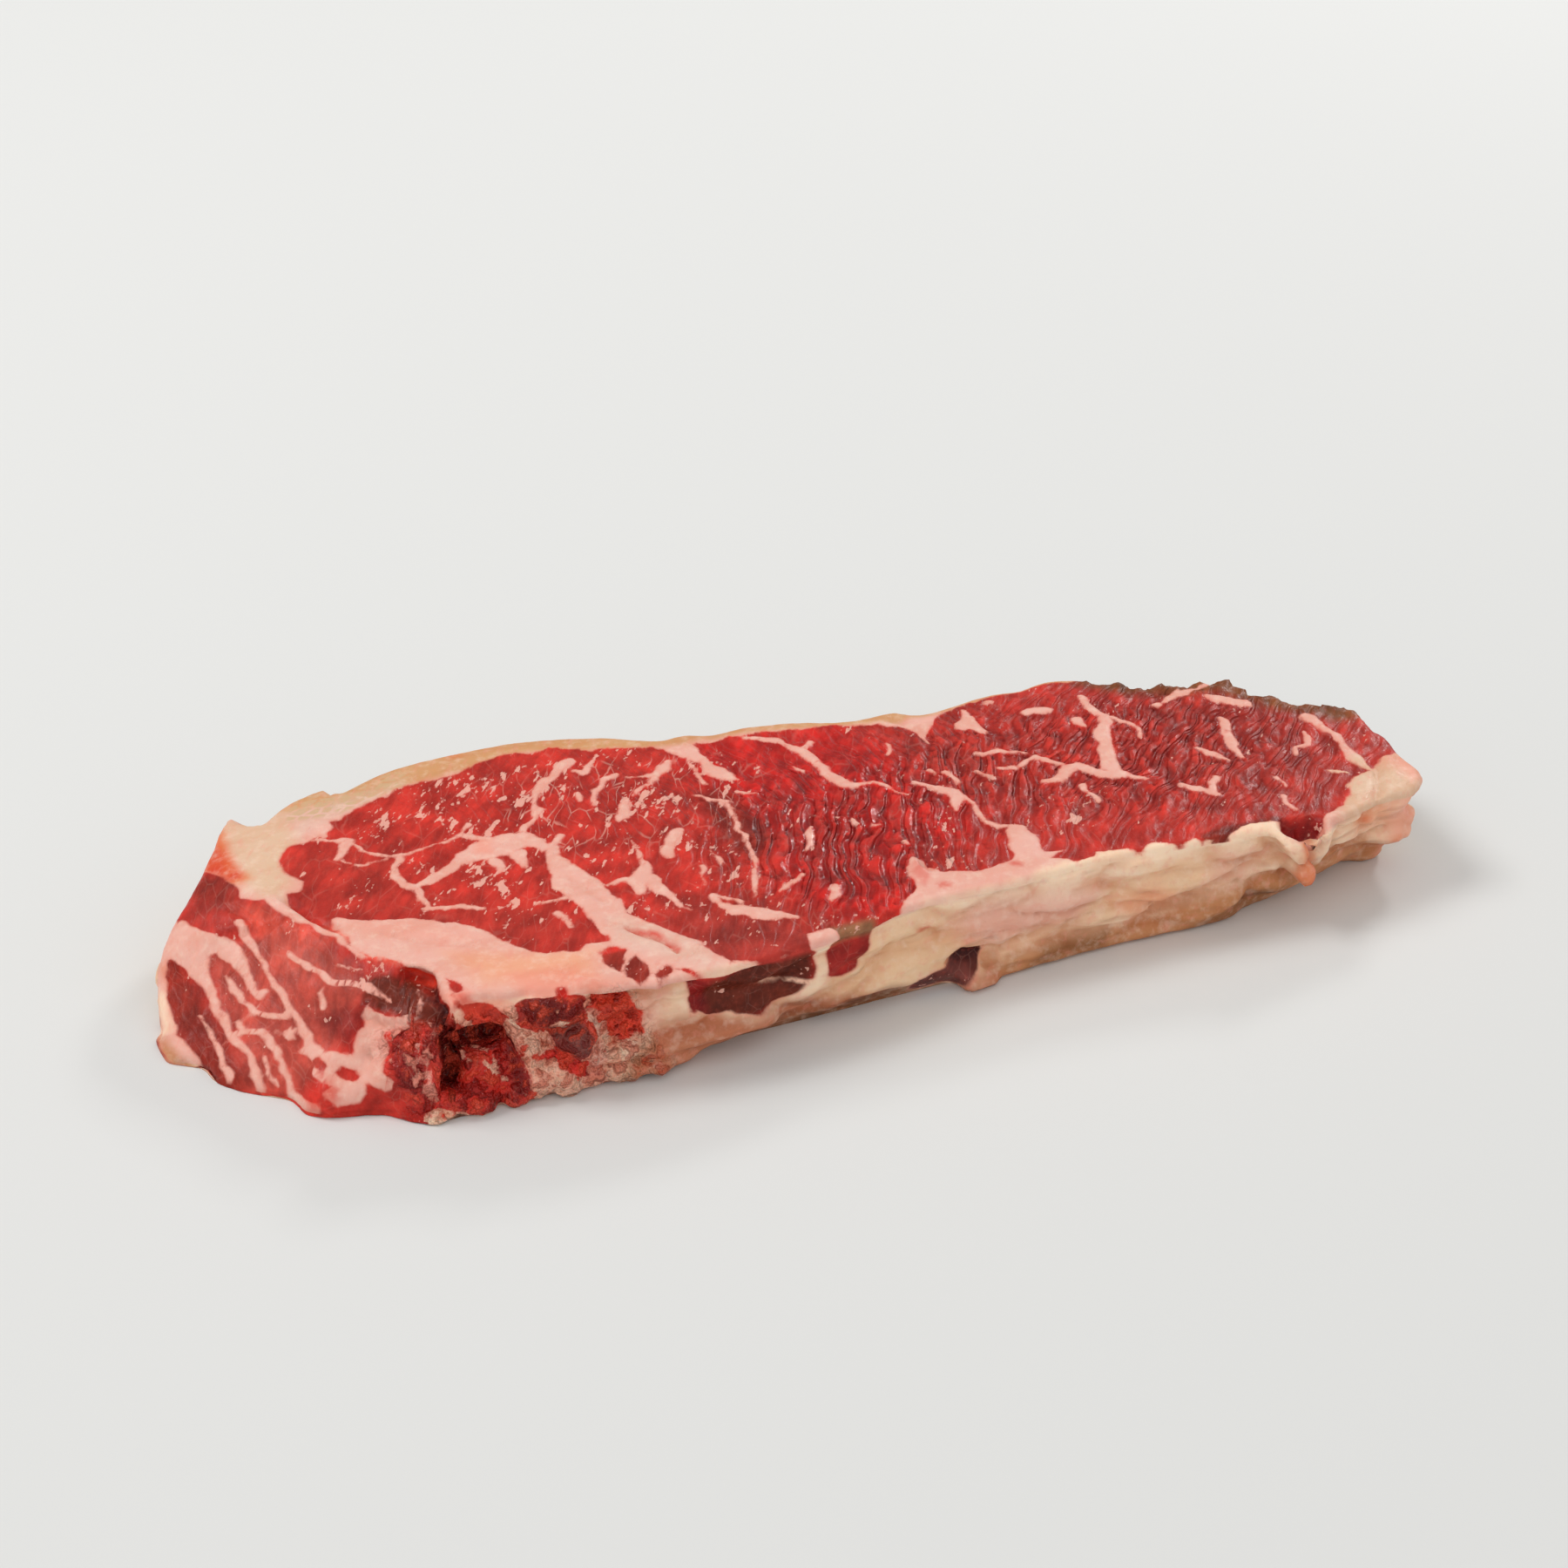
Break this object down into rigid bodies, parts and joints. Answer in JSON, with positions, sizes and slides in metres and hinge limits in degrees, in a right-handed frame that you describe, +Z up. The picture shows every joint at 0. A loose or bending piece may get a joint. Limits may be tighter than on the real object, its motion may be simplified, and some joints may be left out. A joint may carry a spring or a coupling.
{
  "type": "raw beef steak",
  "caption": "Raw boneless beef strip steak with marbling, a fat cap along one side and a torn, sloping tail end, lying flat.",
  "frame": {"origin": "middle of the footprint box, at the level of the flat underside the steak lies on", "axes": "+X along the length towards the narrow end, away from the sloping tail; the fat cap faces -Y; +Z up, through the thickness"},
  "size_m": [0.273, 0.1028, 0.0237],
  "materials": {
    "raw_beef": "moist raw meat with cream fat"
  },
  "bodies": {
    "root": {"steak": "raw_beef"}
  },
  "joints": []
}
